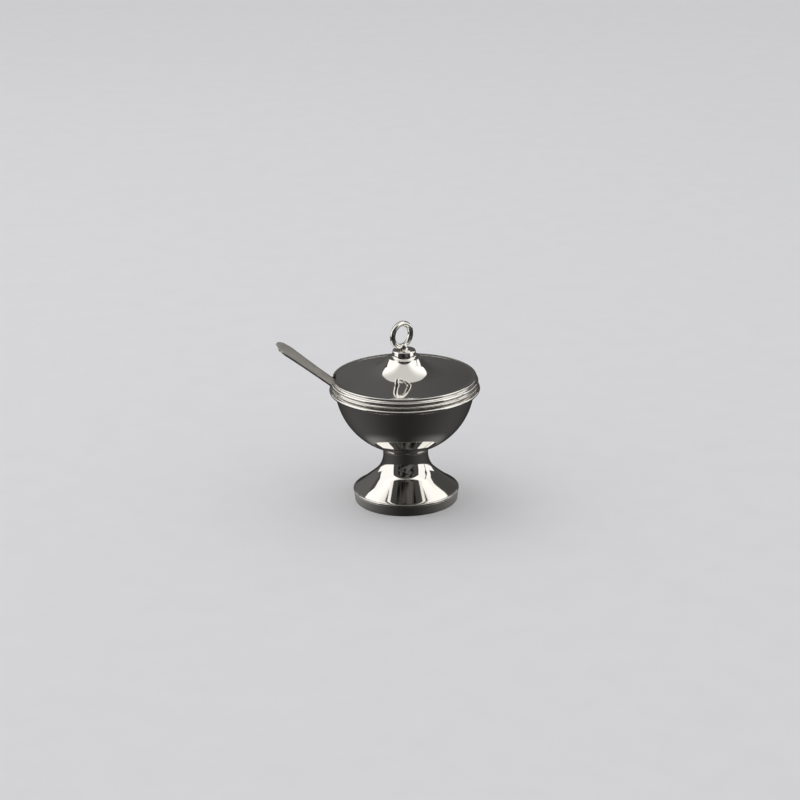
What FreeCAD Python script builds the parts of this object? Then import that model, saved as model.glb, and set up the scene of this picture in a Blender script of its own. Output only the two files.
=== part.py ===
import FreeCAD, Part
import math
import os

import Sketcher
from FreeCAD import Rotation, Vector

# Covered sugar bowl with its spoon. Millimetres, +Z up.
# The origin is the middle of the foot's resting ring on the table.
# The spoon leaves over the rim on the -X side and the finial ring is seen broadside from -Y.

SIZES = {
    # foot, from the table up to the stem
    "foot_bottom_radius": 33.1,
    "foot_band_wall": 1.0,
    "foot_band_flare": 0.8,
    "foot_band_height": 6.5,
    "foot_lip_radius": 0.7,
    "foot_lip_seat_radius": 33.2,
    "foot_lip_seat_width": 0.2,
    "foot_sheet": 0.9,
    "foot_skirt_height": 18.2,
    "foot_skirt_radius": 20.2,
    "foot_skirt_curve": 132.0,
    "stem_radius": 14.5,
    "stem_curve": 17.2,
    "stem_waist_height": 31.0,
    "stem_top_height": 33.9,
    "skirt_edge_thickness": 1.1,
    "collar_round": 1.1,
    # round bowl
    "bowl_radius": 44.6,
    "bowl_wall": 1.1,
    "bowl_centre_height": 77.7,
    "bowl_lip_height": 75.6,
    "bead_top_height": 75.9,
    "bead_radius": 1.2,
    "bead_centre_radius": 46.9,
    # lid
    "dome_edge_radius": 44.6,
    "dome_edge_height": 82.75,
    "dome_land_radius": 43.2,
    "dome_land_height": 83.25,
    "lid_sheet": 1.2,
    "brim_inner_radius": 27.0,
    "brim_inner_height": 86.171,
    "flare_foot_curve": 45.0,
    "flare_turn_radius": 20.936,
    "flare_turn_height": 87.796,
    "flare_top_curve": 20.0,
    "boss_radius": 10.5,
    "boss_top_height": 96.086,
    "moulding_foot_radius": 46.6,
    "moulding_lower_roll": 0.6,
    "moulding_lower_height": 77.5,
    "moulding_middle_roll": 1.1,
    "moulding_middle_radius": 45.95,
    "moulding_middle_height": 80.0,
    "moulding_top_roll": 0.7,
    "moulding_top_height": 82.6,
    "bezel_radius": 42.8,
    "bezel_wall": 0.8,
    "bezel_bottom_height": 72.5,
    "bezel_flange_height": 78.0,
    # notch in the lid for the spoon, measured from the axis
    "notch_front": 7.0,
    "notch_back": 5.8,
    "notch_reach": 50.0,
    "notch_depth_radius": 43.8,
    "notch_bezel_radius": 38.0,
    # finial on the lid
    "stud_radius": 1.5,
    "drum_radius": 7.7,
    "drum_height": 5.0,
    "drum_cove": 1.6,
    "drum_waist_radius": 7.3,
    "drum_waist_height": 4.3,
    "drum_edge": 0.8,
    "drum_crown_radius": 6.6,
    "drum_crown_height": 4.75,
    "neck_bottom_radius": 3.0,
    "neck_top_radius": 2.3,
    "neck_cove": 2.2,
    "neck_height": 1.6,
    "ring_radius": 7.5,
    "ring_wire_radius": 1.75,
    "ring_gap": 0.1,
    # the ring stands this far to the left of the bowl's axis
    "ring_offset": 1.4,
    "washer_radius": 5.0,
    "washer_height": 0.8,
    "nut_radius": 3.2,
    "nut_height": 2.4,
    "stud_below_nut": 1.0,
    # spoon
    "handle_sheet": 1.2,
    "handle_end": 42.8,
    "handle_end_radius": 5.6,
    "handle_widest": 12.4,
    "handle_widest_at": 33.0,
    "handle_side_curve": 400.0,
    "handle_shoulder_curve": 20.0,
    "handle_at_rim": 9.6,
    "handle_neck": 4.4,
    "scoop_start": 36.0,
    "scoop_length": 36.0,
    "scoop_width": 23.0,
    "scoop_depth": 6.0,
    "scoop_sheet": 1.0,
    "spoon_at_radius": 46.9,
    "spoon_at_height": 80.1,
}

FULL_TURN = 360.0
TURN_BACK = 180.0
QUARTER = 90.0
HEXAGON = 6
LEFT = 1
RIGHT = -1
FRONT = -1
BACK = 1
UP = Vector(0, 0, 1)
ACROSS = Vector(1, 0, 0)
SIDEWAYS = Vector(0, 1, 0)

# degrees: the ring's turn about the upright axis, the spoon's heading behind -X and its slope
RING_YAW = 41.0
SPOON_HEADING = 20.0
SPOON_PITCH = 31.0


class Dim:
    """A length with its value and the spreadsheet formula that gives it."""

    def __init__(self, value, formula):
        self.value = value
        self.formula = formula

    def _with(self, other, sign, value):
        return Dim(value, "({} {} {})".format(self.formula, sign, formula_of(other)))

    def __add__(self, other):
        return self._with(other, "+", self.value + value_of(other))

    def __sub__(self, other):
        return self._with(other, "-", self.value - value_of(other))

    def __mul__(self, other):
        return self._with(other, "*", self.value * value_of(other))

    def __truediv__(self, other):
        return self._with(other, "/", self.value / value_of(other))


def value_of(item):
    return item.value if isinstance(item, Dim) else float(item)


def formula_of(item):
    return item.formula if isinstance(item, Dim) else repr(float(item))


def leg(long_side, short_side):
    """The third side of a right triangle whose longest side is long_side."""
    value = math.sqrt(value_of(long_side) ** 2 - value_of(short_side) ** 2)
    text = "sqrt({0} * {0} - {1} * {1})".format(formula_of(long_side), formula_of(short_side))
    return Dim(value, text)


class Sizes:
    """Gives each spreadsheet size by its name."""

    def __getattr__(self, name):
        return Dim(SIZES[name], "Sizes." + name)


doc = FreeCAD.newDocument("SugarBowl")
sheet = doc.addObject("Spreadsheet::Sheet", "Sizes")
for row, (name, size) in enumerate(SIZES.items(), start=1):
    sheet.set("A{}".format(row), name)
    sheet.set("B{}".format(row), str(size))
    sheet.setAlias("B{}".format(row), name)
doc.recompute()
size = Sizes()
ZERO = Dim(0.0, "0")


def bind(obj, path, dim):
    obj.setExpression(path, dim.formula)


def plane_of(body, role):
    return [item for item in body.Origin.OriginFeatures if item.Role == role][0]


def arc_between(start, end, radius, turn):
    """The arc of this radius from start to end; turn +1 runs anticlockwise, -1 clockwise."""
    chord = end - start
    middle = start + chord * 0.5
    reach = math.sqrt(max(radius ** 2 - (chord.Length / 2) ** 2, 0.0))
    side = Vector(-chord.y, chord.x, 0).normalize() * reach * turn
    centre = middle + side
    first = math.atan2(start.y - centre.y, start.x - centre.x)
    last = math.atan2(end.y - centre.y, end.x - centre.x)
    circle = Part.Circle(centre, Vector(0, 0, 1), radius)
    if turn > 0:
        return Part.ArcOfCircle(circle, first, last), 1, 2
    return Part.ArcOfCircle(circle, last, first), 2, 1


def constrain(sketch, kind, *args):
    return sketch.addConstraint(Sketcher.Constraint(kind, *args))


def pin(sketch, edge, end, point):
    """Hold one end of an edge at a point given by two sizes."""
    for kind, axis, dim in (("DistanceX", -2, point[0]), ("DistanceY", -1, point[1])):
        if dim is ZERO:
            constrain(sketch, "PointOnObject", edge, end, axis)
        else:
            index = constrain(sketch, kind, -1, 1, edge, end, dim.value)
            sketch.setExpression("Constraints[{}]".format(index), dim.formula)


def outline(sketch, steps):
    """Draw a closed outline. A step is (x, y) or (x, y, radius, turn) for an arc that ends there."""
    ends = [Vector(step[0].value, step[1].value, 0) for step in steps]
    edges = []
    for number, step in enumerate(steps):
        start = ends[number - 1]
        if len(step) == 2:
            edge = sketch.addGeometry(Part.LineSegment(start, ends[number]), False)
            edges.append((edge, 1, 2))
        else:
            arc, first, last = arc_between(start, ends[number], step[2].value, step[3])
            edges.append((sketch.addGeometry(arc, False), first, last))
    for number, step in enumerate(steps):
        edge, first, last = edges[number]
        before, _, before_last = edges[number - 1]
        constrain(sketch, "Coincident", before, before_last, edge, first)
        pin(sketch, edge, last, step)
        if len(step) == 4:
            index = constrain(sketch, "Radius", edge, step[2].value)
            sketch.setExpression("Constraints[{}]".format(index), step[2].formula)


def sketch_in(body, name, role):
    sketch = body.newObject("Sketcher::SketchObject", name)
    sketch.AttachmentSupport = [(plane_of(body, role), "")]
    sketch.MapMode = "FlatFace"
    return sketch


def new_body(name):
    body = doc.addObject("PartDesign::Body", name)
    body.Label = name
    return body


def turned(name, steps):
    """A piece turned about the upright axis from its cross-section of radius and height."""
    body = new_body(name)
    sketch = sketch_in(body, name + "_section", "XZ_Plane")
    outline(sketch, steps)
    doc.recompute()
    turn = body.newObject("PartDesign::Revolution", name + "_turn")
    turn.Profile = sketch
    turn.ReferenceAxis = (sketch, ["V_Axis"])
    turn.Angle = FULL_TURN
    body.Tip = turn
    doc.recompute()
    return body


# ---- foot: a band on the table, a rounded lip, the spun skirt and stem, a collar ----

band_top_radius = size.foot_bottom_radius + size.foot_band_flare
foot_band = turned("foot_band", [
    (size.foot_bottom_radius - size.foot_band_wall, ZERO),
    (size.foot_bottom_radius, ZERO),
    (band_top_radius, size.foot_band_height),
    (band_top_radius - size.foot_band_wall, size.foot_band_height),
])

lip_top = size.foot_band_height + size.foot_lip_radius * 2
lip_turn = size.foot_lip_seat_radius + size.foot_lip_seat_width
foot_lip = turned("foot_lip", [
    (size.foot_lip_seat_radius, size.foot_band_height),
    (lip_turn, size.foot_band_height),
    (lip_turn + size.foot_lip_radius, size.foot_band_height + size.foot_lip_radius,
     size.foot_lip_radius, 1),
    (lip_turn, lip_top, size.foot_lip_radius, 1),
    (size.foot_lip_seat_radius, lip_top),
])

stem_inside = size.stem_radius - size.foot_sheet
curve_across = size.stem_radius + size.stem_curve - size.foot_skirt_radius
curve_down = size.stem_waist_height - size.foot_skirt_height
skirt_inside_radius = size.foot_skirt_radius - size.foot_sheet * curve_across / size.stem_curve
skirt_inside_height = size.foot_skirt_height - size.foot_sheet * curve_down / size.stem_curve
foot_skirt = turned("foot_skirt", [
    (size.stem_radius, size.stem_top_height),
    (stem_inside, size.stem_top_height),
    (stem_inside, size.stem_waist_height),
    (skirt_inside_radius, skirt_inside_height, size.stem_curve + size.foot_sheet, LEFT),
    (size.foot_lip_seat_radius, lip_top - size.skirt_edge_thickness,
     size.foot_skirt_curve + size.foot_sheet, LEFT),
    (size.foot_lip_seat_radius, lip_top),
    (size.foot_skirt_radius, size.foot_skirt_height, size.foot_skirt_curve, RIGHT),
    (size.stem_radius, size.stem_waist_height, size.stem_curve, RIGHT),
])


def bowl_height(radius, at):
    """Height of the lower half of a sphere about the bowl's centre at a distance from the axis."""
    return size.bowl_centre_height - leg(radius, at)


stem_collar = turned("stem_collar", [
    (stem_inside, size.stem_top_height),
    (size.stem_radius, size.stem_top_height),
    (size.stem_radius, bowl_height(size.bowl_radius, size.stem_radius), size.collar_round, LEFT),
    (stem_inside, bowl_height(size.bowl_radius, stem_inside), size.bowl_radius, RIGHT),
])

# ---- bowl: a thin hemisphere with a heavy bead round its mouth ----

bowl_inside = size.bowl_radius - size.bowl_wall
to_lip = size.bowl_centre_height - size.bowl_lip_height
bowl_shell = turned("bowl_shell", [
    (ZERO, size.bowl_centre_height - size.bowl_radius),
    (leg(size.bowl_radius, to_lip), size.bowl_lip_height, size.bowl_radius, LEFT),
    (leg(bowl_inside, to_lip), size.bowl_lip_height),
    (ZERO, size.bowl_centre_height - bowl_inside, bowl_inside, RIGHT),
])


def bowl_side(height):
    """Radius of the bowl's outside at a height."""
    return leg(size.bowl_radius, size.bowl_centre_height - height)


bead_middle = size.bead_top_height - size.bead_radius
bead_bottom = bead_middle - size.bead_radius
bowl_rim_bead = turned("bowl_rim_bead", [
    (bowl_side(bead_bottom), bead_bottom, size.bowl_radius, RIGHT),
    (size.bead_centre_radius, bead_bottom),
    (size.bead_centre_radius + size.bead_radius, bead_middle, size.bead_radius, LEFT),
    (size.bead_centre_radius, size.bead_top_height, size.bead_radius, LEFT),
    (bowl_side(size.bead_top_height), size.bead_top_height),
])

# ---- lid: domed sheet with a flared boss, a moulded rim and a ring that fits in the mouth ----

boss_top = size.boss_top_height
boss_under = boss_top - size.lid_sheet
brim_width = size.dome_edge_radius - size.brim_inner_radius
brim_rise = (size.brim_inner_height - size.dome_edge_height) / brim_width
land_inner_height = size.dome_edge_height + (size.dome_edge_radius - size.dome_land_radius) * brim_rise

lid_dome = turned("lid_dome", [
    (size.dome_edge_radius, size.dome_land_height),
    (size.dome_land_radius, land_inner_height),
    (size.brim_inner_radius, size.brim_inner_height),
    (size.flare_turn_radius, size.flare_turn_height, size.flare_foot_curve, RIGHT),
    (size.boss_radius, boss_top, size.flare_top_curve, RIGHT),
    (size.stud_radius, boss_top),
    (size.stud_radius, boss_under),
    (size.boss_radius, boss_under),
    (size.flare_turn_radius, size.flare_turn_height - size.lid_sheet, size.flare_top_curve, LEFT),
    (size.brim_inner_radius, size.brim_inner_height - size.lid_sheet, size.flare_foot_curve, LEFT),
    (size.dome_edge_radius, size.dome_edge_height - size.lid_sheet),
])

lower_roll = size.moulding_lower_roll
middle_roll = size.moulding_middle_roll
top_roll = size.moulding_top_roll
top_roll_centre = size.dome_edge_radius + top_roll
lid_rim_moulding = turned("lid_rim_moulding", [
    (size.dome_edge_radius, size.bead_top_height),
    (size.moulding_foot_radius, size.bead_top_height),
    (size.moulding_foot_radius, size.moulding_lower_height - lower_roll),
    (size.moulding_foot_radius + lower_roll, size.moulding_lower_height, lower_roll, LEFT),
    (size.moulding_foot_radius, size.moulding_lower_height + lower_roll, lower_roll, LEFT),
    (size.moulding_middle_radius, size.moulding_middle_height - middle_roll),
    (size.moulding_middle_radius + middle_roll, size.moulding_middle_height, middle_roll, LEFT),
    (size.moulding_middle_radius, size.moulding_middle_height + middle_roll, middle_roll, LEFT),
    (top_roll_centre, size.moulding_top_height - top_roll),
    (top_roll_centre + top_roll, size.moulding_top_height, top_roll, LEFT),
    (top_roll_centre, size.moulding_top_height + top_roll, top_roll, LEFT),
    (size.dome_edge_radius, size.moulding_top_height + top_roll),
])

bezel_inside = size.bezel_radius - size.bezel_wall
bezel_top = size.bezel_flange_height + size.bezel_wall
lid_bezel = turned("lid_bezel", [
    (bezel_inside, size.bezel_bottom_height),
    (size.bezel_radius, size.bezel_bottom_height),
    (size.bezel_radius, size.bezel_flange_height),
    (size.dome_edge_radius, size.bezel_flange_height),
    (size.dome_edge_radius, bezel_top),
    (bezel_inside, bezel_top),
])


def notched(body, inner_end):
    """Cut the straight-sided spoon notch through a lid piece from inner_end outwards."""
    before = body.Shape.Volume
    sketch = sketch_in(body, body.Label + "_notch", "XY_Plane")
    outline(sketch, [
        (ZERO - inner_end, ZERO - size.notch_front),
        (ZERO - inner_end, size.notch_back),
        (ZERO - size.notch_reach, size.notch_back),
        (ZERO - size.notch_reach, ZERO - size.notch_front),
    ])
    doc.recompute()
    cut = body.newObject("PartDesign::Pocket", body.Label + "_notch_cut")
    cut.Profile = sketch
    cut.Type = "ThroughAll"
    cut.Midplane = True
    body.Tip = cut
    doc.recompute()
    if body.Shape.Volume >= before:
        raise RuntimeError(body.Label + " has no notch")


notched(lid_dome, size.notch_depth_radius)
notched(lid_rim_moulding, size.notch_depth_radius)
notched(lid_bezel, size.notch_bezel_radius)

# ---- finial: a turned drum, a neck and a wire ring, drawn down by a stud, washer and nut ----

drum_top = boss_top + size.drum_height
drum_foot = size.drum_radius + size.drum_cove
finial_drum = turned("finial_drum", [
    (size.stud_radius, boss_top),
    (drum_foot, boss_top),
    (size.drum_radius, boss_top + size.drum_cove, size.drum_cove, RIGHT),
    (size.drum_waist_radius, boss_top + size.drum_waist_height),
    (size.drum_crown_radius, boss_top + size.drum_crown_height, size.drum_edge, LEFT),
    (size.neck_bottom_radius, drum_top),
    (size.stud_radius, drum_top),
])

neck_top = drum_top + size.neck_height
neck_blank = turned("neck_blank", [
    (ZERO, drum_top),
    (size.neck_bottom_radius, drum_top),
    (size.neck_top_radius, neck_top, size.neck_cove, RIGHT),
    (ZERO, neck_top),
])

ring_middle = drum_top + size.ring_gap + size.ring_wire_radius + size.ring_radius
finial_ring = doc.addObject("Part::Torus", "finial_ring")
finial_ring.Label = "finial_ring"
bind(finial_ring, "Radius1", size.ring_radius)
bind(finial_ring, "Radius2", size.ring_wire_radius)
finial_ring.Placement.Rotation = Rotation(UP, RING_YAW) * Rotation(ACROSS, QUARTER)
bind(finial_ring, "Placement.Base.x", ZERO - size.ring_offset)
bind(finial_ring, "Placement.Base.z", ring_middle)

finial_neck = doc.addObject("Part::Cut", "finial_neck")
finial_neck.Label = "finial_neck"
finial_neck.Base = neck_blank
finial_neck.Tool = finial_ring

washer_bottom = boss_under - size.washer_height
nut_bottom = washer_bottom - size.nut_height
stud_bottom = nut_bottom - size.stud_below_nut
finial_stud = turned("finial_stud", [
    (ZERO, stud_bottom),
    (size.stud_radius, stud_bottom),
    (size.stud_radius, drum_top),
    (ZERO, drum_top),
])

finial_washer = turned("finial_washer", [
    (size.stud_radius, washer_bottom),
    (size.washer_radius, washer_bottom),
    (size.washer_radius, boss_under),
    (size.stud_radius, boss_under),
])

nut_blank = doc.addObject("Part::Prism", "nut_blank")
nut_blank.Polygon = HEXAGON
bind(nut_blank, "Circumradius", size.nut_radius)
bind(nut_blank, "Height", size.nut_height)
bind(nut_blank, "Placement.Base.z", nut_bottom)
nut_bore = doc.addObject("Part::Cylinder", "nut_bore")
bind(nut_bore, "Radius", size.stud_radius)
bind(nut_bore, "Height", size.nut_height)
bind(nut_bore, "Placement.Base.z", nut_bottom)
finial_nut = doc.addObject("Part::Cut", "finial_nut")
finial_nut.Label = "finial_nut"
finial_nut.Base = nut_blank
finial_nut.Tool = nut_bore

# ---- spoon: a flat tapering handle and an oval scoop, drawn along X and then laid over the rim ----


def across(x, width, side):
    return (x, width * (side / 2))


handle = new_body("spoon_handle")
handle_plan = sketch_in(handle, "spoon_handle_plan", "XY_Plane")
neck_x = ZERO - size.scoop_start
round_x = size.handle_end - size.handle_end_radius
outline(handle_plan, [
    across(neck_x, size.handle_neck, BACK),
    across(neck_x, size.handle_neck, FRONT),
    across(ZERO, size.handle_at_rim, FRONT),
    across(size.handle_widest_at, size.handle_widest, FRONT) + (size.handle_side_curve, RIGHT),
    (round_x, ZERO - size.handle_end_radius, size.handle_shoulder_curve, LEFT),
    (size.handle_end, ZERO, size.handle_end_radius, LEFT),
    (round_x, size.handle_end_radius, size.handle_end_radius, LEFT),
    across(size.handle_widest_at, size.handle_widest, BACK) + (size.handle_shoulder_curve, LEFT),
    across(ZERO, size.handle_at_rim, BACK) + (size.handle_side_curve, RIGHT),
])
doc.recompute()
handle_pad = handle.newObject("PartDesign::Pad", "spoon_handle_pad")
handle_pad.Profile = handle_plan
handle_pad.Midplane = True
bind(handle_pad, "Length", size.handle_sheet)
handle.Tip = handle_pad
doc.recompute()


def half_egg(name, trim):
    """The lower half of an ellipsoid, smaller all round by trim, its rim at mid-sheet of the handle."""
    egg = doc.addObject("Part::Ellipsoid", name)
    egg.Angle1 = -QUARTER
    egg.Angle2 = 0
    bind(egg, "Radius1", size.scoop_depth - trim)
    bind(egg, "Radius2", size.scoop_length / 2 - trim)
    bind(egg, "Radius3", size.scoop_width / 2 - trim)
    bind(egg, "Placement.Base.x", ZERO - size.scoop_start - size.scoop_length / 2 + size.scoop_sheet)
    return egg


scoop = doc.addObject("Part::Cut", "spoon_scoop")
scoop.Base = half_egg("scoop_outside", ZERO)
scoop.Tool = half_egg("scoop_inside", size.scoop_sheet)
spoon = doc.addObject("Part::Fuse", "sugar_spoon")
spoon.Label = "sugar_spoon"
spoon.Base = handle
spoon.Tool = scoop
spoon.Refine = True
spoon.Placement.Rotation = Rotation(UP, TURN_BACK - SPOON_HEADING) * Rotation(SIDEWAYS, -SPOON_PITCH)
bind(spoon, "Placement.Base.x", ZERO - size.spoon_at_radius)
bind(spoon, "Placement.Base.z", size.spoon_at_height)
doc.recompute()

# ---- every piece is sound, then written ----

PIECES = (
    foot_band, foot_lip, foot_skirt, stem_collar,
    bowl_shell, bowl_rim_bead,
    lid_dome, lid_rim_moulding, lid_bezel,
    finial_drum, finial_neck, finial_ring, finial_stud, finial_washer, finial_nut,
    spoon,
)

for item in doc.Objects:
    faults = [state for state in item.State if state in ("Invalid", "Error")]
    if faults:
        raise RuntimeError("{} is {}".format(item.Label, faults))

os.makedirs("parts", exist_ok=True)
for piece in PIECES:
    shape = piece.Shape
    if shape.isNull() or not shape.isValid() or len(shape.Solids) != 1:
        raise RuntimeError(piece.Label + " is not one sound solid")
    shape.exportStep("parts/{}.step".format(piece.Label))
    print(piece.Label, round(shape.Volume, 1), shape.BoundBox)
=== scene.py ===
import math

import bmesh
import bpy
from mathutils import Matrix, Vector


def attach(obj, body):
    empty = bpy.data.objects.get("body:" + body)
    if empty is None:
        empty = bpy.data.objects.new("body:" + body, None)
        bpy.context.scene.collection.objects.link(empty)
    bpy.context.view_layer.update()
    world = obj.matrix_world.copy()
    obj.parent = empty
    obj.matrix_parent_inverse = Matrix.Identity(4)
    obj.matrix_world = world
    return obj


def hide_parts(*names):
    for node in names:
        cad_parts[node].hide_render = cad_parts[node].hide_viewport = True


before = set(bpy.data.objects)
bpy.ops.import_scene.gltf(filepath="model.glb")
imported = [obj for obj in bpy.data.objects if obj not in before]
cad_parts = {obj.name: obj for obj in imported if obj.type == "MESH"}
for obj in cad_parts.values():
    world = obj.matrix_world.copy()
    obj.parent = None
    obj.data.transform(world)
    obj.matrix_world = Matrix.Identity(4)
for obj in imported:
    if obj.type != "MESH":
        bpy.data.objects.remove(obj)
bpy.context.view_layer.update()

scene = bpy.context.scene
MM = 0.001

# ---------------------------------------------------------------- mesh tools


def link(name, mesh, material, body, slot, *nodes):
    """Put a finished mesh in the scene as a piece that stands for the CAD nodes given."""
    piece = bpy.data.objects.new(name, mesh)
    scene.collection.objects.link(piece)
    mesh.materials.append(material)
    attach(piece, body)
    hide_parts(*nodes)
    return piece


def rounded(mesh, width, segments=3, angle=24.0):
    """Round the sharp edges of a mesh and smooth its faces."""
    carrier = bpy.data.objects.new("carrier", mesh)
    scene.collection.objects.link(carrier)
    mesh.shade_smooth()
    bevel = carrier.modifiers.new("round", "BEVEL")
    bevel.width = width * MM
    bevel.segments = segments
    bevel.limit_method = "ANGLE"
    bevel.angle_limit = math.radians(angle)
    bevel.harden_normals = True
    bevel.use_clamp_overlap = True
    bpy.context.view_layer.update()
    graph = bpy.context.evaluated_depsgraph_get()
    done = bpy.data.meshes.new_from_object(carrier.evaluated_get(graph))
    bpy.data.objects.remove(carrier)
    done.shade_smooth()
    return done


def arc(centre, radius, first, last, steps):
    """Points on an arc in the section plane, angles in degrees from outward."""
    points = []
    for step in range(steps + 1):
        angle = math.radians(first + (last - first) * step / steps)
        points.append((centre[0] + radius * math.cos(angle), centre[1] + radius * math.sin(angle)))
    return points


def line(start, end, steps):
    points = []
    for step in range(steps + 1):
        part = step / steps
        points.append((start[0] + (end[0] - start[0]) * part, start[1] + (end[1] - start[1]) * part))
    return points


def bend(start, end, radius, hollow=False, steps=14):
    """Points on the short arc of a given radius from start to end, bulging or hollow."""
    chord = math.dist(start, end)
    rise = math.sqrt(radius ** 2 - (chord / 2) ** 2)
    side = -1.0 if hollow else 1.0
    across = ((start[1] - end[1]) / chord * side, (end[0] - start[0]) / chord * side)
    centre = ((start[0] + end[0]) / 2 + across[0] * rise, (start[1] + end[1]) / 2 + across[1] * rise)
    first = math.degrees(math.atan2(start[1] - centre[1], start[0] - centre[0]))
    last = math.degrees(math.atan2(end[1] - centre[1], end[0] - centre[0]))
    turn = (last - first + 180.0) % 360.0 - 180.0
    return arc(centre, radius, first, first + turn, steps)


def outline(*stretches):
    """Join stretches of points into one closed section without repeated points."""
    points = []
    for stretch in stretches:
        for point in stretch:
            if not points or math.dist(point, points[-1]) > 0.02:
                points.append(point)
    if math.dist(points[0], points[-1]) < 0.02:
        points.pop()
    return points


def spun(section, turns=288, notch=None):
    """Turn a section of (radius, height) in millimetres about the upright axis.

    With a notch, given as its front and back edges in millimetres, the ring stops short of the
    -X side along two flat faces parallel to X."""
    mesh = bpy.data.meshes.new("spun")
    builder = bmesh.new()
    rows = []
    columns = turns if notch is None else turns + 1
    for column in range(columns):
        share = column / turns
        row = []
        for radius, height in section:
            if notch is None or radius < 0.01:
                angle = math.tau * share
            else:
                start = -math.pi + math.asin(notch[0] / radius)
                end = math.pi - math.asin(notch[1] / radius)
                angle = start + (end - start) * share
            if radius < 0.001 and rows:
                position = None
            else:
                position = (radius * math.cos(angle) * MM, radius * math.sin(angle) * MM, height * MM)
            row.append(rows[0][len(row)] if position is None else builder.verts.new(position))
        rows.append(row)
    count = len(section)
    for column in range(columns if notch is None else turns):
        here = rows[column]
        there = rows[(column + 1) % columns]
        for spot in range(count):
            ahead = (spot + 1) % count
            corners = []
            for corner in (here[spot], there[spot], there[ahead], here[ahead]):
                if corner not in corners:
                    corners.append(corner)
            if len(corners) > 2:
                builder.faces.new(corners)
    if notch is not None:
        builder.faces.new(rows[0])
        builder.faces.new(list(reversed(rows[-1])))
    bmesh.ops.recalc_face_normals(builder, faces=builder.faces)
    builder.to_mesh(mesh)
    builder.free()
    return mesh


# ---------------------------------------------------------------- materials


class Nodes:
    """A short way of writing a node tree."""

    def __init__(self, material):
        material.use_nodes = True
        self.tree = material.node_tree
        self.shader = self.tree.nodes["Principled BSDF"]

    def add(self, kind, values=None, **settings):
        node = self.tree.nodes.new("ShaderNode" + kind)
        for name, value in settings.items():
            setattr(node, name, value)
        for socket, value in (values or {}).items():
            if isinstance(value, bpy.types.NodeSocket):
                self.tree.links.new(value, node.inputs[socket])
            else:
                node.inputs[socket].default_value = value
        return node

    def into(self, name, socket):
        self.tree.links.new(socket, self.shader.inputs[name])

    def ramp(self, value, low, high, low_out, high_out):
        node = self.add("MapRange", {0: value, 1: low, 2: high, 3: low_out, 4: high_out})
        node.interpolation_type = "SMOOTHSTEP"
        return node.outputs[0]

    def mix(self, share, first, second):
        node = self.add("Mix", data_type="RGBA")
        self.tree.links.new(share, node.inputs[0])
        for index, value in ((6, first), (7, second)):
            if isinstance(value, bpy.types.NodeSocket):
                self.tree.links.new(value, node.inputs[index])
            else:
                node.inputs[index].default_value = value
        return node.outputs[2]

    def maths(self, operation, first, second):
        return self.add("Math", {0: first, 1: second}, operation=operation).outputs[0]


def silver(name, colour, tarnish, gloss, ripple):
    """Polished silver: smudged gloss, faint ripples from spinning and polishing, tarnish in corners."""
    material = bpy.data.materials.new(name)
    nodes = Nodes(material)
    place = nodes.add("TexCoord").outputs["Object"]
    smudge = nodes.add("TexNoise", {"Vector": place, "Scale": 55.0, "Detail": 4.0, "Roughness": 0.6})
    fine = nodes.add("TexNoise", {"Vector": place, "Scale": 900.0, "Detail": 3.0, "Roughness": 0.65})
    broad = nodes.add("TexNoise", {"Vector": place, "Scale": 16.0, "Detail": 1.0})
    corner = nodes.add("AmbientOcclusion", {"Distance": 0.0016}, samples=4, only_local=False)
    dirty = nodes.maths("SUBTRACT", 1.0, corner.outputs["AO"])
    patchy = nodes.maths("MULTIPLY", dirty, nodes.ramp(smudge.outputs[0], 0.3, 0.7, 0.35, 1.0))
    film = nodes.ramp(broad.outputs[0], 0.35, 0.75, 0.0, 0.22)
    shade = nodes.maths("MAXIMUM", patchy, film)
    nodes.into("Base Color", nodes.mix(shade, (*colour, 1.0), (*tarnish, 1.0)))
    gloss_map = nodes.ramp(smudge.outputs[0], 0.35, 0.8, gloss, gloss * 1.7)
    rubbed = nodes.maths("ADD", gloss_map, nodes.maths("MULTIPLY", dirty, 0.12))
    nodes.into("Roughness", nodes.maths("ADD", rubbed, nodes.ramp(fine.outputs[0], 0.55, 0.75, 0.0, 0.02)))
    nodes.shader.inputs["Metallic"].default_value = 1.0
    wave = nodes.add("TexNoise", {"Vector": place, "Scale": 30.0, "Detail": 0.5})
    bump = nodes.add("Bump", {"Strength": 0.5, "Distance": ripple, "Height": wave.outputs[0]})
    hair = nodes.add("Bump", {"Strength": 0.05, "Distance": 0.00001, "Height": fine.outputs[0],
                              "Normal": bump.outputs[0]})
    nodes.into("Normal", hair.outputs[0])
    return material


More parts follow.
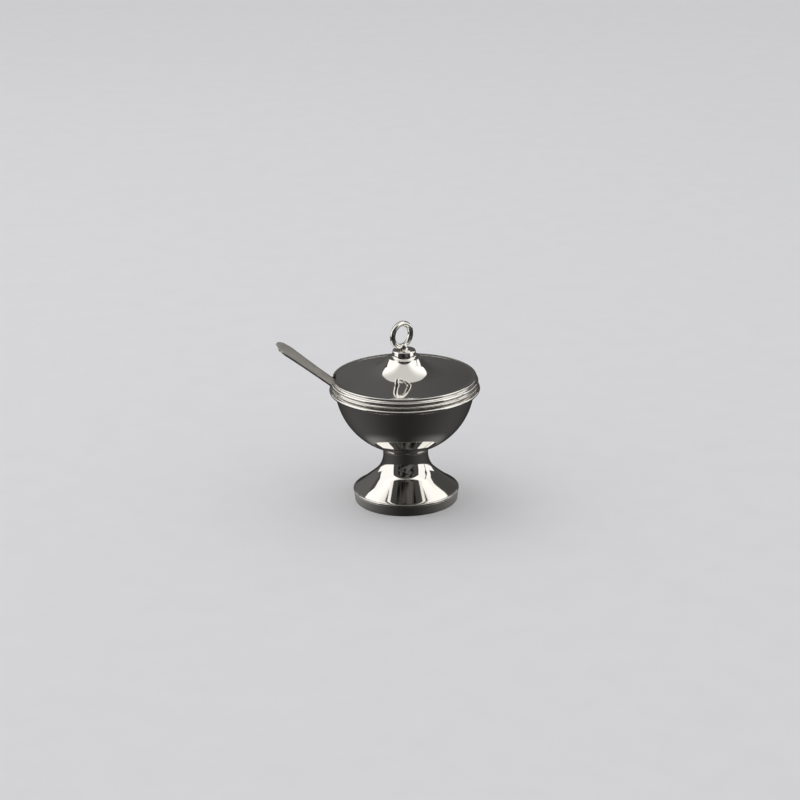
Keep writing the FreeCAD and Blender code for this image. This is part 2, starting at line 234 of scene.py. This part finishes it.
def satin(name, colour, dark):
    """Satin metal brushed along the piece's own length, with brighter worn edges."""
    material = bpy.data.materials.new(name)
    nodes = Nodes(material)
    place = nodes.add("TexCoord").outputs["Object"]
    along = nodes.add("UVMap", uv_map="along").outputs[0]
    grain_place = nodes.add("Mapping", {"Vector": along, "Scale": (120.0, 2600.0, 1.0)}).outputs[0]
    grain = nodes.add("TexNoise", {"Vector": grain_place, "Scale": 1.0, "Detail": 3.0})
    cloud = nodes.add("TexNoise", {"Vector": place, "Scale": 140.0, "Detail": 4.0})
    worn = nodes.add("NewGeometry").outputs["Pointiness"]
    edge = nodes.ramp(worn, 0.52, 0.60, 0.0, 1.0)
    brushed = nodes.mix(nodes.ramp(grain.outputs[0], 0.3, 0.7, 0.0, 1.0), (*dark, 1.0), (*colour, 1.0))
    clouded = nodes.mix(nodes.ramp(cloud.outputs[0], 0.4, 0.75, 0.0, 0.35), brushed, (*dark, 1.0))
    nodes.into("Base Color", nodes.mix(edge, clouded, (0.86, 0.84, 0.80, 1.0)))
    matt = nodes.ramp(grain.outputs[0], 0.25, 0.75, 0.30, 0.44)
    nodes.into("Roughness", nodes.maths("SUBTRACT", matt, nodes.maths("MULTIPLY", edge, 0.18)))
    nodes.shader.inputs["Metallic"].default_value = 1.0
    nodes.shader.inputs["Anisotropic"].default_value = 0.55
    bump = nodes.add("Bump", {"Strength": 0.25, "Distance": 0.00003, "Height": grain.outputs[0]})
    nodes.into("Normal", bump.outputs[0])
    return material


SILVER = (0.93, 0.915, 0.885)
TARNISH = (0.42, 0.36, 0.29)
body_silver = silver("polished_silver", SILVER, TARNISH, 0.045, 0.00009)
finial_silver = silver("finial_silver", SILVER, TARNISH, 0.055, 0.00005)
rim_silver = silver("rim_silver", SILVER, TARNISH, 0.12, 0.00006)
fixing_metal = silver("fixing_metal", (0.74, 0.72, 0.68), (0.30, 0.26, 0.21), 0.22, 0.00004)
spoon_satin = satin("spoon_satin", (0.84, 0.815, 0.775), (0.68, 0.655, 0.615))

# ---------------------------------------------------------------- foot

LIP_SEAT = 33.2
BAND_TOP = 6.5
LIP_ROUND = 0.7
LIP_TURN = LIP_SEAT + 0.2
LIP_TOP = BAND_TOP + 2 * LIP_ROUND
BAND_FOOT = 33.1
BAND_SHOULDER = 33.9
BAND_WALL = 1.0
foot_band = spun(outline(
    line((BAND_FOOT, 0.0), (BAND_SHOULDER, BAND_TOP), 8),
    line((BAND_SHOULDER - BAND_WALL, BAND_TOP), (BAND_FOOT - BAND_WALL, 0.0), 8),
))
link("foot_band_turned", rounded(foot_band, 0.25), body_silver, "bowl", "polished_silver", "foot_band")

foot_lip = spun(outline(
    [(LIP_SEAT, BAND_TOP)],
    arc((LIP_TURN, BAND_TOP + LIP_ROUND), LIP_ROUND, -90, 90, 14),
    [(LIP_SEAT, LIP_TOP)],
))
link("foot_lip_turned", rounded(foot_lip, 0.1), body_silver, "bowl", "polished_silver", "foot_lip")


STEM = 14.5
STEM_TOP = 33.9
STEM_FOOT = 31.0
STEM_CURVE = 17.2
STEM_SWEEP = 48.1
SKIRT_CURVE = 132.0
SKIRT_SWEEP = 55.35
FOOT_SHEET = 0.9
SKIRT_EDGE = 1.1


def skirt_curve(offset):
    """The stem and skirt as one smooth line, offset inwards by a sheet thickness."""
    sweep = math.radians(STEM_SWEEP)
    stem_centre = (STEM + STEM_CURVE, STEM_FOOT)
    skirt_centre = (stem_centre[0] + (SKIRT_CURVE - STEM_CURVE) * math.cos(sweep),
                    stem_centre[1] + (SKIRT_CURVE - STEM_CURVE) * math.sin(sweep))
    return outline(
        line((STEM - offset, STEM_TOP), (STEM - offset, STEM_FOOT), 4),
        arc(stem_centre, STEM_CURVE + offset, 180.0, 180.0 + STEM_SWEEP, 26),
        arc(skirt_centre, SKIRT_CURVE + offset, 180.0 + STEM_SWEEP, 180.0 + SKIRT_SWEEP, 18),
    )


outside = [point for point in skirt_curve(0.0) if point[0] <= LIP_SEAT]
inside = [point for point in skirt_curve(FOOT_SHEET) if point[0] <= LIP_SEAT]
skirt_edge = [(LIP_SEAT, LIP_TOP), (LIP_SEAT, LIP_TOP - SKIRT_EDGE)]
foot_skirt = spun(outline(outside, skirt_edge, reversed(inside)))
link("foot_skirt_spun", rounded(foot_skirt, 0.08), body_silver, "bowl", "polished_silver", "foot_skirt")

BOWL_CENTRE = 77.7
BOWL_RADIUS = 44.6
BOWL_INSIDE = 43.5


def bowl_height(at):
    return BOWL_CENTRE - math.sqrt(BOWL_RADIUS ** 2 - at ** 2)


def bowl_side(height):
    return math.sqrt(BOWL_RADIUS ** 2 - (BOWL_CENTRE - height) ** 2)


COLLAR_ROUND = 1.1
COLLAR_SETBACK = 0.744
COLLAR_INSIDE = 13.6
collar_top = bowl_height(STEM)
collar_middle = (STEM - COLLAR_SETBACK, (STEM_TOP + collar_top) / 2)
collar_span = math.degrees(math.asin((collar_top - STEM_TOP) / 2 / COLLAR_ROUND))
stem_collar = spun(outline(
    [(COLLAR_INSIDE, STEM_TOP)],
    arc(collar_middle, COLLAR_ROUND, -collar_span, collar_span, 10),
    [(COLLAR_INSIDE, bowl_height(COLLAR_INSIDE))],
))
link("stem_collar_turned", rounded(stem_collar, 0.06), body_silver, "bowl", "polished_silver", "stem_collar")

# ---------------------------------------------------------------- bowl

LIP_HEIGHT = 75.6
BEAD_TOP = 75.9
BEAD_ROUND = 1.2
BEAD_CENTRE = 46.9


def from_centre(radius, height):
    return math.degrees(math.asin((height - BOWL_CENTRE) / radius))


bowl_shell = spun(outline(
    arc((0.0, BOWL_CENTRE), BOWL_RADIUS, -90.0, from_centre(BOWL_RADIUS, LIP_HEIGHT), 80),
    arc((0.0, BOWL_CENTRE), BOWL_INSIDE, from_centre(BOWL_INSIDE, LIP_HEIGHT), -90.0, 80),
))
link("bowl_shell_spun", rounded(bowl_shell, 0.35), body_silver, "bowl", "polished_silver", "bowl_shell")

bead_low = BEAD_TOP - 2 * BEAD_ROUND
bowl_rim_bead = spun(outline(
    [(bowl_side(bead_low), bead_low)],
    arc((BEAD_CENTRE, BEAD_TOP - BEAD_ROUND), BEAD_ROUND, -90, 90, 20),
    [(bowl_side(BEAD_TOP), BEAD_TOP)],
))
link("bowl_rim_bead_turned", rounded(bowl_rim_bead, 0.12), rim_silver, "bowl", "polished_silver",
     "bowl_rim_bead")

# ---------------------------------------------------------------- lid

BRIM_EDGE = 44.6
BRIM_EDGE_HEIGHT = 82.75
BRIM_SLOPE = 11.0
BRIM_INNER = 27.0
FLARE_FOOT = 45.0
FLARE_TURN = 19.0
FLARE_TOP = 20.0
BOSS = 10.5
LID_SHEET = 1.2
STUD = 1.5
NOTCH = (7.0, 5.8)
NOTCH_DEPTH = 43.8
LAND_INNER = 43.2
LAND_HEIGHT = 83.25


def brim_height(radius):
    return BRIM_EDGE_HEIGHT + (BRIM_EDGE - radius) * math.tan(math.radians(BRIM_SLOPE))


def lid_curve():
    """The lid's outside from the brim inwards: a straight brim, a slow hollow curve, a quick one."""
    brim = line((LAND_INNER, brim_height(LAND_INNER)), (BRIM_INNER, brim_height(BRIM_INNER)), 24)
    slope, turn = math.radians(BRIM_SLOPE), math.radians(FLARE_TURN)
    low = (BRIM_INNER + FLARE_FOOT * math.sin(slope),
           brim_height(BRIM_INNER) + FLARE_FOOT * math.cos(slope))
    high = (low[0] - (FLARE_FOOT - FLARE_TOP) * math.sin(turn),
            low[1] - (FLARE_FOOT - FLARE_TOP) * math.cos(turn))
    steepest = math.degrees(math.asin((high[0] - BOSS) / FLARE_TOP))
    foot = arc(low, FLARE_FOOT, 270.0 - BRIM_SLOPE, 270.0 - FLARE_TURN, 24)
    top = arc(high, FLARE_TOP, 270.0 - FLARE_TURN, 270.0 - steepest, 36)
    return outline(brim, foot, top)


lid_outside = lid_curve()
boss_top = lid_outside[-1][1]
lid_dome = spun(outline(
    [(BRIM_EDGE, LAND_HEIGHT)],
    lid_outside,
    [(STUD, boss_top)],
    [(STUD, boss_top - LID_SHEET)],
    [(radius, height - LID_SHEET) for radius, height in reversed(lid_outside)],
    [(BRIM_EDGE, BRIM_EDGE_HEIGHT - LID_SHEET)],
))


def notched(mesh, depth, reach=60.0):
    """Cut the spoon's straight-sided notch, open outwards from depth."""
    carrier = bpy.data.objects.new("carrier", mesh)
    cutter_mesh = bpy.data.meshes.new("cutter")
    builder = bmesh.new()
    bmesh.ops.create_cube(builder, size=1.0)
    builder.to_mesh(cutter_mesh)
    builder.free()
    low = Vector((-reach, -NOTCH[0], 60.0)) * MM
    high = Vector((-depth, NOTCH[1], 100.0)) * MM
    cutter_mesh.transform(Matrix.Translation((low + high) / 2) @ Matrix.Diagonal((*(high - low), 1.0)))
    cutter = bpy.data.objects.new("cutter", cutter_mesh)
    scene.collection.objects.link(carrier)
    scene.collection.objects.link(cutter)
    cut = carrier.modifiers.new("notch", "BOOLEAN")
    cut.operation = "DIFFERENCE"
    cut.solver = "EXACT"
    cut.object = cutter
    bpy.context.view_layer.update()
    graph = bpy.context.evaluated_depsgraph_get()
    done = bpy.data.meshes.new_from_object(carrier.evaluated_get(graph))
    bpy.data.objects.remove(carrier)
    bpy.data.objects.remove(cutter)
    return done


link("lid_dome_spun", rounded(notched(lid_dome, NOTCH_DEPTH), 0.1), body_silver, "lid",
     "polished_silver", "lid_dome")

MOULDING_FOOT = 46.6
LOWER_ROUND = 0.6
MIDDLE_ROUND = 1.1
TOP_ROUND = 0.7
LOWER_ROLL = (MOULDING_FOOT, 77.5)
MIDDLE_ROLL = (45.95, 80.0)
TOP_ROLL = (BRIM_EDGE + TOP_ROUND, 82.6)
lid_rim_moulding = spun(outline(
    [(BRIM_EDGE, BEAD_TOP)],
    [(MOULDING_FOOT, BEAD_TOP)],
    arc(LOWER_ROLL, LOWER_ROUND, -90, 90, 14),
    arc(MIDDLE_ROLL, MIDDLE_ROUND, -90, 90, 20),
    arc(TOP_ROLL, TOP_ROUND, -90, 90, 16),
    [(BRIM_EDGE, TOP_ROLL[1] + TOP_ROUND)],
), notch=NOTCH)
link("lid_rim_moulding_turned", rounded(lid_rim_moulding, 0.1), rim_silver, "lid", "polished_silver",
     "lid_rim_moulding")

# The ring that drops inside the bowl's mouth, with a narrow flange under the lid.
BEZEL_OUTSIDE = 42.8
BEZEL_WALL = 0.8
BEZEL_BOTTOM = 72.5
BEZEL_FLANGE = 78.0
lid_bezel = spun([
    (BEZEL_OUTSIDE - BEZEL_WALL, BEZEL_BOTTOM),
    (BEZEL_OUTSIDE, BEZEL_BOTTOM),
    (BEZEL_OUTSIDE, BEZEL_FLANGE),
    (BRIM_EDGE, BEZEL_FLANGE),
    (BRIM_EDGE, BEZEL_FLANGE + BEZEL_WALL),
    (BEZEL_OUTSIDE - BEZEL_WALL, BEZEL_FLANGE + BEZEL_WALL),
], notch=NOTCH)
link("lid_bezel_turned", rounded(lid_bezel, 0.1), body_silver, "lid", "polished_silver", "lid_bezel")

# ---------------------------------------------------------------- finial

DRUM = 7.7
DRUM_COVE = 1.6
DRUM_EDGE = 0.8
NECK_FOOT = 3.0
drum_top = boss_top + 5.0
drum_waist = (7.3, boss_top + 4.3)
drum_crown = (6.6, boss_top + 4.75)
finial_drum = spun(outline(
    [(STUD, boss_top)],
    arc((DRUM + DRUM_COVE, boss_top + DRUM_COVE), DRUM_COVE, 270, 180, 14),
    line((DRUM, boss_top + DRUM_COVE), drum_waist, 4),
    bend(drum_waist, drum_crown, DRUM_EDGE),
    line(drum_crown, (NECK_FOOT, drum_top), 5),
    [(STUD, drum_top)],
), turns=160)
link("finial_drum_turned", rounded(finial_drum, 0.08), finial_silver, "lid", "finial_silver", "finial_drum")

RING = 7.5
WIRE = 1.75
RING_YAW = math.radians(41.0)
RING_OFFSET = 1.4
RING_GAP = 0.1
ring_centre = Vector((-RING_OFFSET, 0.0, drum_top + RING_GAP + WIRE + RING))


def bent_ring():
    """A round wire closed into a ring, turned about the upright axis."""
    mesh = bpy.data.meshes.new("ring")
    builder = bmesh.new()
    along, around = 144, 40
    rows = []
    for step in range(along):
        turn = math.tau * step / along
        row = []
        for spot in range(around):
            angle = math.tau * spot / around
            reach = RING + WIRE * math.cos(angle)
            flat = Vector((reach * math.cos(turn), WIRE * math.sin(angle), reach * math.sin(turn)))
            row.append(builder.verts.new((Matrix.Rotation(RING_YAW, 3, "Z") @ flat + ring_centre) * MM))
        rows.append(row)
    for step in range(along):
        here, there = rows[step], rows[(step + 1) % along]
        for spot in range(around):
            ahead = (spot + 1) % around
            builder.faces.new((here[spot], there[spot], there[ahead], here[ahead]))
    bmesh.ops.recalc_face_normals(builder, faces=builder.faces)
    builder.to_mesh(mesh)
    builder.free()
    mesh.shade_smooth()
    return mesh


link("finial_ring_bent", bent_ring(), finial_silver, "lid", "finial_silver", "finial_ring")

NECK_TOP = 2.3
NECK_HEIGHT = 1.6
NECK_HOLLOW = 2.2
finial_neck = spun(outline(
    [(0.0, drum_top)],
    bend((NECK_FOOT, drum_top), (NECK_TOP, drum_top + NECK_HEIGHT), NECK_HOLLOW, hollow=True),
    arc((0.0, drum_top + NECK_HEIGHT), NECK_TOP, 12, 90, 8),
), turns=96)
link("finial_neck_turned", rounded(finial_neck, 0.08), finial_silver, "lid", "finial_silver", "finial_neck")

# ---------------------------------------------------------------- spoon

HEADING = math.radians(20.0)
PITCH = math.radians(31.0)
RIM_CROSSING = Vector((-46.9, 0.0, 80.1))
spoon_frame = (Matrix.Translation(RIM_CROSSING * MM)
               @ Matrix.Rotation(math.pi - HEADING, 4, "Z") @ Matrix.Rotation(-PITCH, 4, "Y"))
SHEET = 1.2
HANDLE_END = 42.8
END_ROUND = 5.6
WIDEST_AT = 33.0
SCOOP_NECK = -36.0
NECK_HALF = 2.2
RIM_HALF = 4.8
WIDEST_HALF = 6.2
WAIST_HOLLOW = -0.36
SHOULDER_BULGE = 0.12
SCOOP = (-53.0, 18.0, 11.5, 6.0)  # middle, half length, half width, depth
SCOOP_SHEET = 1.0


def span(x, start, end, bulge):
    """Half width between two stations, straight but for a slight bulge."""
    share = (x - start[0]) / (end[0] - start[0])
    return start[1] + (end[1] - start[1]) * share + 4.0 * bulge * share * (1.0 - share)


def half_width(x):
    centre, reach, wide, _ = SCOOP
    oval = wide * math.sqrt(max(0.0, 1.0 - ((x - centre) / reach) ** 2))
    round_at = HANDLE_END - END_ROUND
    if x < SCOOP_NECK:
        return oval
    if x < 0.0:
        return max(oval, span(x, (SCOOP_NECK, NECK_HALF), (0.0, RIM_HALF), 0.0))
    if x < WIDEST_AT:
        return span(x, (0.0, RIM_HALF), (WIDEST_AT, WIDEST_HALF), WAIST_HOLLOW)
    if x < round_at:
        return span(x, (WIDEST_AT, WIDEST_HALF), (round_at, END_ROUND), SHOULDER_BULGE)
    return math.sqrt(max(0.0, END_ROUND ** 2 - (x - round_at) ** 2))


def hollow(x, inset):
    """Depth of the scoop's outside (inset 0) or inside at its middle line."""
    centre, reach, _, deep = SCOOP
    share = min(1.0, abs(x - centre) / (reach - inset))
    return (deep - inset) * math.sqrt(1.0 - share ** 2)


def forged_spoon():
    """Handle and scoop lofted as one sheet, written straight in its resting place.

    The piece's own length and width are kept in a UV map, for the direction of the brushing."""
    mesh = bpy.data.meshes.new("spoon")
    builder = bmesh.new()
    flat = builder.loops.layers.uv.new("along")
    own = {}
    low, high = SCOOP[0] - SCOOP[1] + 0.03, HANDLE_END - 0.03
    count, across = 200, 22
    rows = []
    for step in range(count + 1):
        x = low + (high - low) * (1.0 - math.cos(math.pi * step / count)) / 2
        wide = half_width(x)
        inner = wide * (1.0 - min(0.9 / wide, 0.5))
        plate = SHEET if x > -34.0 else max(0.55, SHEET + (x + 34.0) * 0.16)
        top = 0.0 if x < SCOOP_NECK else SHEET / 2
        points = [(-wide, top)]
        for spot in range(across + 1):
            share = 2.0 * spot / across - 1.0
            fall = math.sqrt(max(0.0, 1.0 - share ** 2))
            points.append((inner * share, top - hollow(x, SCOOP_SHEET) * fall))
        points.append((wide, top))
        for spot in range(across + 1):
            share = 1.0 - 2.0 * spot / across
            fall = math.sqrt(max(0.0, 1.0 - share ** 2))
            points.append((wide * share, top - max(hollow(x, 0.0) * fall, plate)))
        row = []
        for y, z in points:
            vertex = builder.verts.new(spoon_frame @ (Vector((x, y, z)) * MM))
            own[vertex] = (x * MM, y * MM)
            row.append(vertex)
        rows.append(row)
    loop = len(rows[0])
    for here, there in zip(rows, rows[1:]):
        for spot in range(loop):
            ahead = (spot + 1) % loop
            builder.faces.new((here[spot], there[spot], there[ahead], here[ahead]))
    builder.faces.new(rows[0])
    builder.faces.new(list(reversed(rows[-1])))
    bmesh.ops.recalc_face_normals(builder, faces=builder.faces)
    for face in builder.faces:
        for corner in face.loops:
            corner[flat].uv = own[corner.vert]
    builder.to_mesh(mesh)
    builder.free()
    return mesh


link("sugar_spoon_forged", rounded(forged_spoon(), 0.26, 3, 50.0), spoon_satin, "spoon",
     "spoon_satin", "sugar_spoon")

# ---------------------------------------------------------------- CAD nodes that stay

KEPT = {
    "finial_stud": fixing_metal,
    "finial_washer": fixing_metal,
    "finial_nut": fixing_metal,
}
for node, material in KEPT.items():
    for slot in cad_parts[node].material_slots:
        slot.material = material

# ---------------------------------------------------------------- studio


def card(name, corners, material, seen_by_camera=False, seen_by_light=False):
    """A flat stage card; unless told otherwise it shows only as a reflection."""
    mesh = bpy.data.meshes.new(name)
    mesh.from_pydata(corners, [], [(0, 1, 2, 3)])
    mesh.materials.append(material)
    sheet = bpy.data.objects.new(name, mesh)
    scene.collection.objects.link(sheet)
    sheet.visible_camera = seen_by_camera
    sheet.visible_diffuse = seen_by_light
    sheet.visible_shadow = seen_by_light
    return sheet


def level_card(name, west, east, south, north, height, material, **seen):
    corners = [(west, south, height), (east, south, height), (east, north, height), (west, north, height)]
    return card(name, corners, material, **seen)


def glowing(name, colour):
    """A material that only gives off light; its strength socket is left for a node."""
    material = bpy.data.materials.new(name)
    nodes = Nodes(material)
    nodes.shader.inputs["Base Color"].default_value = (0.0, 0.0, 0.0, 1.0)
    nodes.shader.inputs["Specular IOR Level"].default_value = 0.0
    nodes.shader.inputs["Emission Color"].default_value = (*colour, 1.0)
    split = nodes.add("SeparateXYZ", {0: nodes.add("TexCoord").outputs["Object"]})
    return material, nodes, split.outputs


cloth = bpy.data.materials.new("pale_floor")
cloth_nodes = Nodes(cloth)
weave = cloth_nodes.add("TexNoise", {"Vector": cloth_nodes.add("TexCoord").outputs["Object"],
                                     "Scale": 40.0, "Detail": 5.0})
cloth_nodes.into("Base Color", cloth_nodes.mix(weave.outputs[0], (0.74, 0.74, 0.75, 1.0),
                                               (0.70, 0.70, 0.71, 1.0)))
cloth_nodes.shader.inputs["Roughness"].default_value = 0.9
cloth_nodes.shader.inputs["Specular IOR Level"].default_value = 0.1
floor = level_card("floor", -7.0, 7.0, -7.0, 7.0, 0.0, cloth, seen_by_camera=True, seen_by_light=True)
floor.visible_glossy = False

# What the silver mirrors of the table: a glowing card seen only in reflection, with painted light and shade
# in place of the lit table, dark in front, a painted sheen beside the foot, lighter on the left and far
# behind.
table, nodes, (across, along, _) = glowing("mirrored_table", (1.0, 0.985, 0.96))
far = nodes.maths("SQRT", nodes.maths("ADD", nodes.maths("MULTIPLY", across, across),
                                      nodes.maths("MULTIPLY", along, along)), 0.0)
side = nodes.maths("DIVIDE", nodes.maths("ABSOLUTE", across, 0.0), nodes.maths("MAXIMUM", far, 0.001))
sideways = nodes.maths("MULTIPLY", side, side)
# Painted sheen: the table glows brighter close beside the foot, most of all to the sides.
painted_sheen_by_foot = nodes.ramp(far, 0.040, 0.060, 0.165, 0.045)
# Painted window light: the table glows lighter on the left.
painted_left_light = nodes.ramp(across, -0.05, 0.05, 1.1, 0.85)
lit = nodes.maths("MULTIPLY", nodes.maths("MULTIPLY", sideways, painted_sheen_by_foot), painted_left_light)
# Painted light: the table far behind glows lighter.
behind = nodes.ramp(along, 0.15, 0.35, 0.020, 0.070)
nodes.into("Emission Strength", nodes.maths("ADD", lit, behind))
level_card("mirrored_table", -3.0, 3.0, -3.0, 3.0, -0.0002, table)

# The wall behind the camera's subject, mirrored in the lid: a glowing card seen only in reflection, with
# painted window light that makes it lighter on the left.
wall, nodes, (across, _, _) = glowing("mirrored_wall", (1.0, 0.99, 0.97))
nodes.into("Emission Strength", nodes.ramp(across, -0.9, 0.9, 0.115, 0.062))
card("mirrored_wall", [(-1.6, 1.3, 0.0), (1.6, 1.3, 0.0), (1.6, 1.3, 1.5), (-1.6, 1.3, 1.5)], wall)

SIDE_REACH = 0.6
window, nodes, _ = glowing("window_light", (1.0, 0.99, 0.97))
nodes.shader.inputs["Emission Strength"].default_value = 1.08
WINDOW_SOUTH = -0.35
WINDOW_FAR = 0.72
WINDOW_SILL = 0.02
WINDOW_LOW_TOP = 0.20
WINDOW_TOP = 0.70


def window_card(name, reach, south, north, top):
    card(name, [(reach, south, WINDOW_SILL), (reach, north, WINDOW_SILL),
                (reach, north, top), (reach, south, top)], window)


for name, reach, north in (("window_left", -SIDE_REACH, 0.36), ("window_right", SIDE_REACH, 0.30)):
    window_card(name, reach, WINDOW_SOUTH, north, WINDOW_TOP)
    window_card(name + "_low", reach, north, WINDOW_FAR, WINDOW_LOW_TOP)

# A thin dark stand in front of the right window, wider at its middle: a dim glowing card seen only in
# reflection, its glow painted in place of the light on the stand.
shade, nodes, _ = glowing("stand_shade", (1.0, 0.97, 0.93))
nodes.shader.inputs["Emission Strength"].default_value = 0.07
stand = bpy.data.meshes.new("window_stand")
STAND_AT = 0.06
stand_reach = SIDE_REACH - 0.02
STAND = ((0.016, 0.02), (0.016, 0.20), (0.058, 0.30), (0.020, 0.44), (0.016, 0.70))
stand_points = [(stand_reach, STAND_AT - half, height) for half, height in STAND]
stand_points += [(stand_reach, STAND_AT + half, height) for half, height in reversed(STAND)]
stand.from_pydata(stand_points, [], [tuple(range(len(stand_points)))])
stand.materials.append(shade)
stand_sheet = bpy.data.objects.new("window_stand", stand)
scene.collection.objects.link(stand_sheet)
stand_sheet.visible_camera = False
stand_sheet.visible_diffuse = False
stand_sheet.visible_shadow = False

# The room behind the camera, mirrored in the silver: a dark glowing card seen only in reflection, its glow
# painted in place of the room's light, with uneven darker and lighter patches.
room, nodes, _ = glowing("mirrored_room", (1.0, 0.97, 0.92))
patches = nodes.add("TexNoise", {"Vector": nodes.add("TexCoord").outputs["Object"], "Scale": 2.2,
                                 "Detail": 1.0})
nodes.into("Emission Strength", nodes.ramp(patches.outputs[0], 0.36, 0.66, 0.008, 0.105))
card("mirrored_room", [(-0.9, -1.2, 0.0), (0.9, -1.2, 0.0), (0.9, -1.2, 1.6), (-0.9, -1.2, 1.6)], room)

# The ceiling light is brighter towards the windows.
ceiling, nodes, (across, _, _) = glowing("ceiling_light", (1.0, 0.985, 0.95))
outer = nodes.maths("ABSOLUTE", nodes.maths("ADD", across, 0.03), 0.0)
nodes.into("Emission Strength", nodes.ramp(outer, 0.15, 0.50, 0.62, 1.2))
level_card("ceiling_light", -0.75, 0.75, -0.45, 0.58, 0.75, ceiling)

key = bpy.data.lights.new("soft_key", "AREA")
key.size = 1.4
key.energy = 5.0
key_lamp = bpy.data.objects.new("soft_key", key)
scene.collection.objects.link(key_lamp)
key_lamp.location = (-0.7, 0.5, 1.7)
key_lamp.rotation_mode = "QUATERNION"
key_lamp.rotation_quaternion = (-key_lamp.location).to_track_quat("-Z", "Y")
key_lamp.visible_camera = False
key_lamp.visible_glossy = False

world = bpy.data.worlds.new("studio")
scene.world = world
world.use_nodes = True
tree = world.node_tree
pale = tree.nodes["Background"]
pale.inputs[0].default_value = (0.90, 0.90, 0.91, 1.0)
pale.inputs[1].default_value = 0.9
dark = tree.nodes.new("ShaderNodeBackground")
dark.inputs[0].default_value = (0.064, 0.063, 0.061, 1.0)
path = tree.nodes.new("ShaderNodeLightPath")
choose = tree.nodes.new("ShaderNodeMixShader")
tree.links.new(path.outputs["Is Glossy Ray"], choose.inputs[0])
tree.links.new(pale.outputs[0], choose.inputs[1])
tree.links.new(dark.outputs[0], choose.inputs[2])
tree.links.new(choose.outputs[0], tree.nodes["World Output"].inputs[0])

# ---------------------------------------------------------------- camera

ELEVATION = math.radians(19.6)
DISTANCE = 1.5
aim = Vector((-0.0031, 0.0, 0.0668))
away = Vector((0.0, -math.cos(ELEVATION), math.sin(ELEVATION)))
lens = bpy.data.cameras.new("camera")
lens.sensor_width = 36.0
lens.lens = 105.6
camera = bpy.data.objects.new("camera", lens)
scene.collection.objects.link(camera)
camera.location = aim + away * DISTANCE
camera.rotation_mode = "QUATERNION"
tilt = Matrix.Rotation(math.radians(-0.95), 4, "Z").to_quaternion()
camera.rotation_quaternion = (-away).to_track_quat("-Z", "Y") @ tilt
scene.camera = camera
scene.view_settings.view_transform = "Standard"
